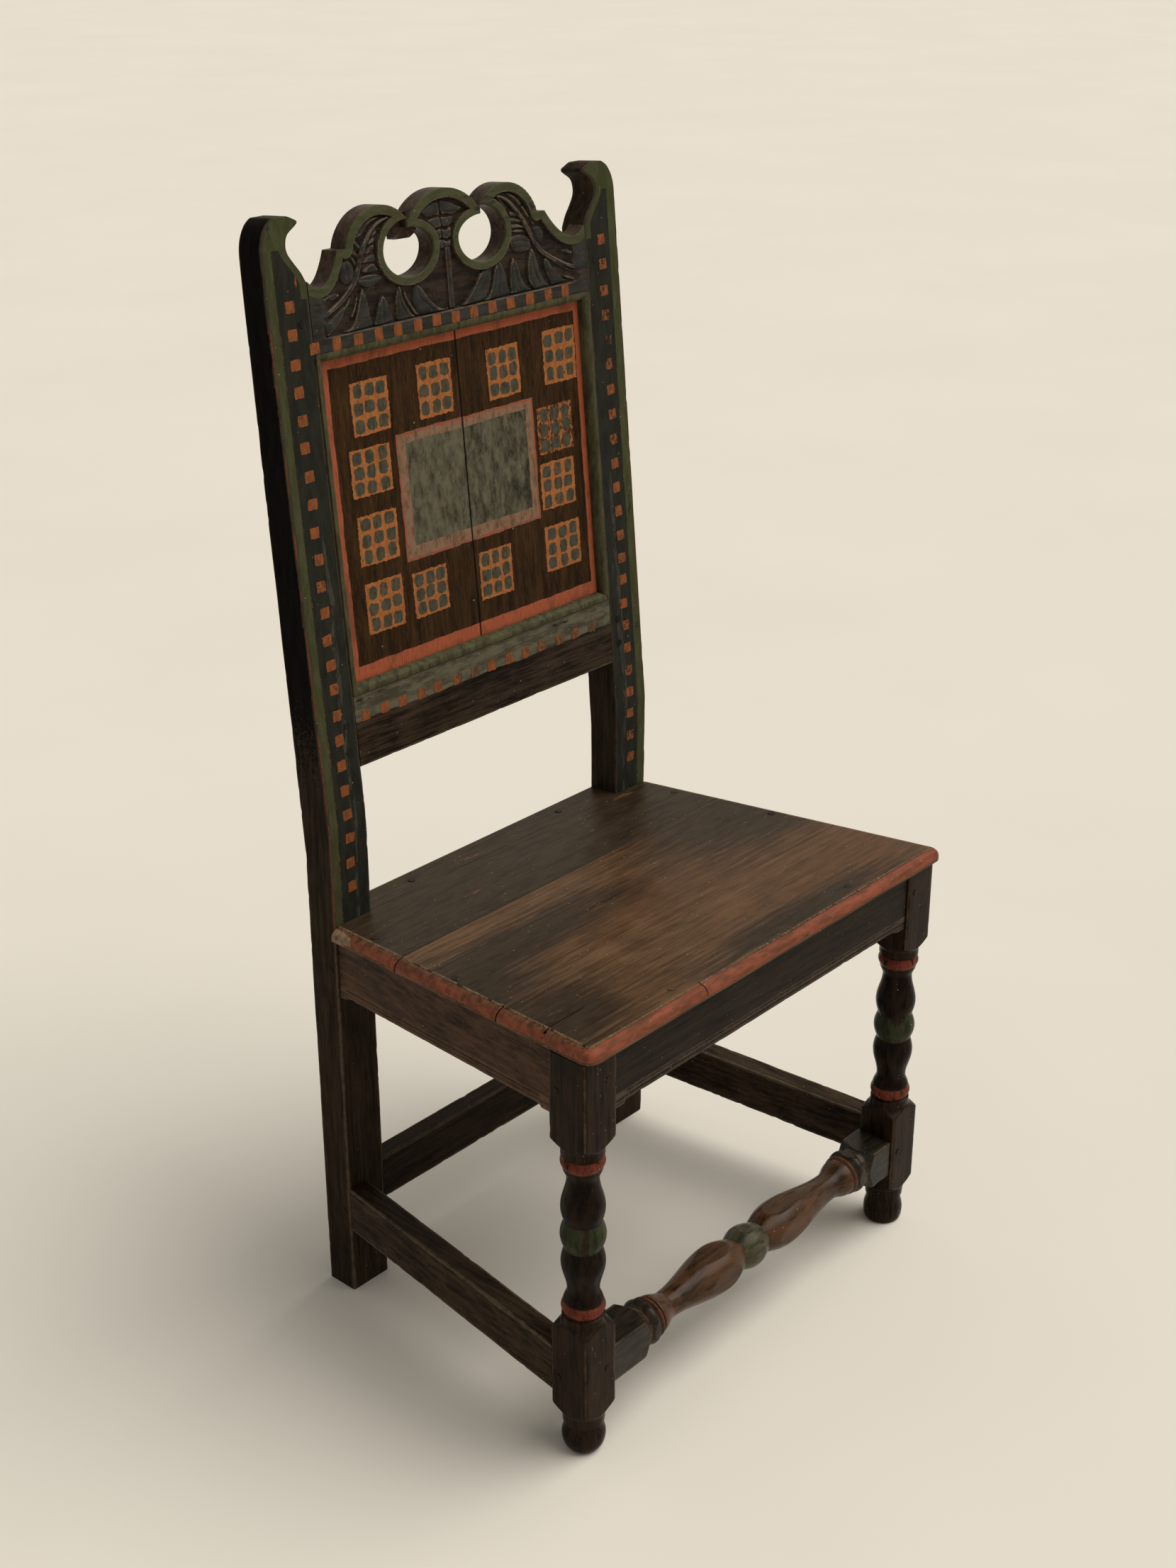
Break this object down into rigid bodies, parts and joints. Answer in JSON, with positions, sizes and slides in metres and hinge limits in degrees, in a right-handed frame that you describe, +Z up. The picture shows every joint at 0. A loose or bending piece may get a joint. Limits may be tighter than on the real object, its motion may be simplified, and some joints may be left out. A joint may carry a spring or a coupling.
{
  "type": "side chair",
  "caption": "Joined wooden side chair with a raked panelled back, pierced and carved crest rail, turned front legs and front stretcher, moulded seat rails and a boarded seat.",
  "frame": {"origin": "on the floor below the middle of the chair's bounding box", "axes": "+Z up, the front of the chair faces -Y, +X to the right of someone who faces its front"},
  "size_m": [0.5532, 0.4567, 1.1234],
  "materials": {
    "dark_oak": "aged, waxed",
    "worn_oak": "worn, waxed",
    "polished_oak": "rubbed to a shine",
    "painted_panel": "old matt paint",
    "green_paint": "old matt paint",
    "oak_peg": "bare"
  },
  "bodies": {
    "root": {"crest_rail": "dark_oak", "front_leg_left": "dark_oak", "front_leg_right": "dark_oak", "lower_back_rail": "dark_oak", "panel_board_left": "painted_panel", "panel_board_right": "painted_panel", "panel_moulding_bottom": "green_paint", "panel_moulding_left": "green_paint", "panel_moulding_right": "green_paint", "panel_moulding_top": "green_paint", "peg_crest_left_1": "oak_peg", "peg_crest_right_1": "oak_peg", "peg_lower_rail_left_1": "oak_peg", "peg_lower_rail_left_2": "oak_peg", "peg_lower_rail_right_1": "oak_peg", "peg_lower_rail_right_2": "oak_peg", "peg_seat_back_left": "oak_peg", "peg_seat_back_right": "oak_peg", "peg_seat_front_left": "oak_peg", "peg_seat_front_right": "oak_peg", "peg_seat_middle_left": "oak_peg", "peg_seat_middle_right": "oak_peg", "peg_seat_rail_front_left": "oak_peg", "peg_seat_rail_front_right": "oak_peg", "peg_seat_rail_left_leg": "oak_peg", "peg_seat_rail_left_post": "oak_peg", "peg_seat_rail_rear_left": "oak_peg", "peg_seat_rail_rear_right": "oak_peg", "peg_seat_rail_right_leg": "oak_peg", "peg_seat_rail_right_post": "oak_peg", "peg_seat_rear_left": "oak_peg", "peg_seat_rear_right": "oak_peg", "peg_stretcher_front_left": "oak_peg", "peg_stretcher_front_right": "oak_peg", "peg_stretcher_left_leg": "oak_peg", "peg_stretcher_left_post": "oak_peg", "peg_stretcher_rear_left": "oak_peg", "peg_stretcher_rear_right": "oak_peg", "peg_stretcher_right_leg": "oak_peg", "peg_stretcher_right_post": "oak_peg", "rear_post_left": "dark_oak", "rear_post_right": "dark_oak", "seat_board_front": "worn_oak", "seat_board_middle": "worn_oak", "seat_board_rear": "worn_oak", "seat_rail_front": "dark_oak", "seat_rail_left": "dark_oak", "seat_rail_rear": "dark_oak", "seat_rail_right": "dark_oak", "stretcher_front": "polished_oak", "stretcher_left": "dark_oak", "stretcher_rear": "dark_oak", "stretcher_right": "dark_oak"}
  },
  "joints": []
}
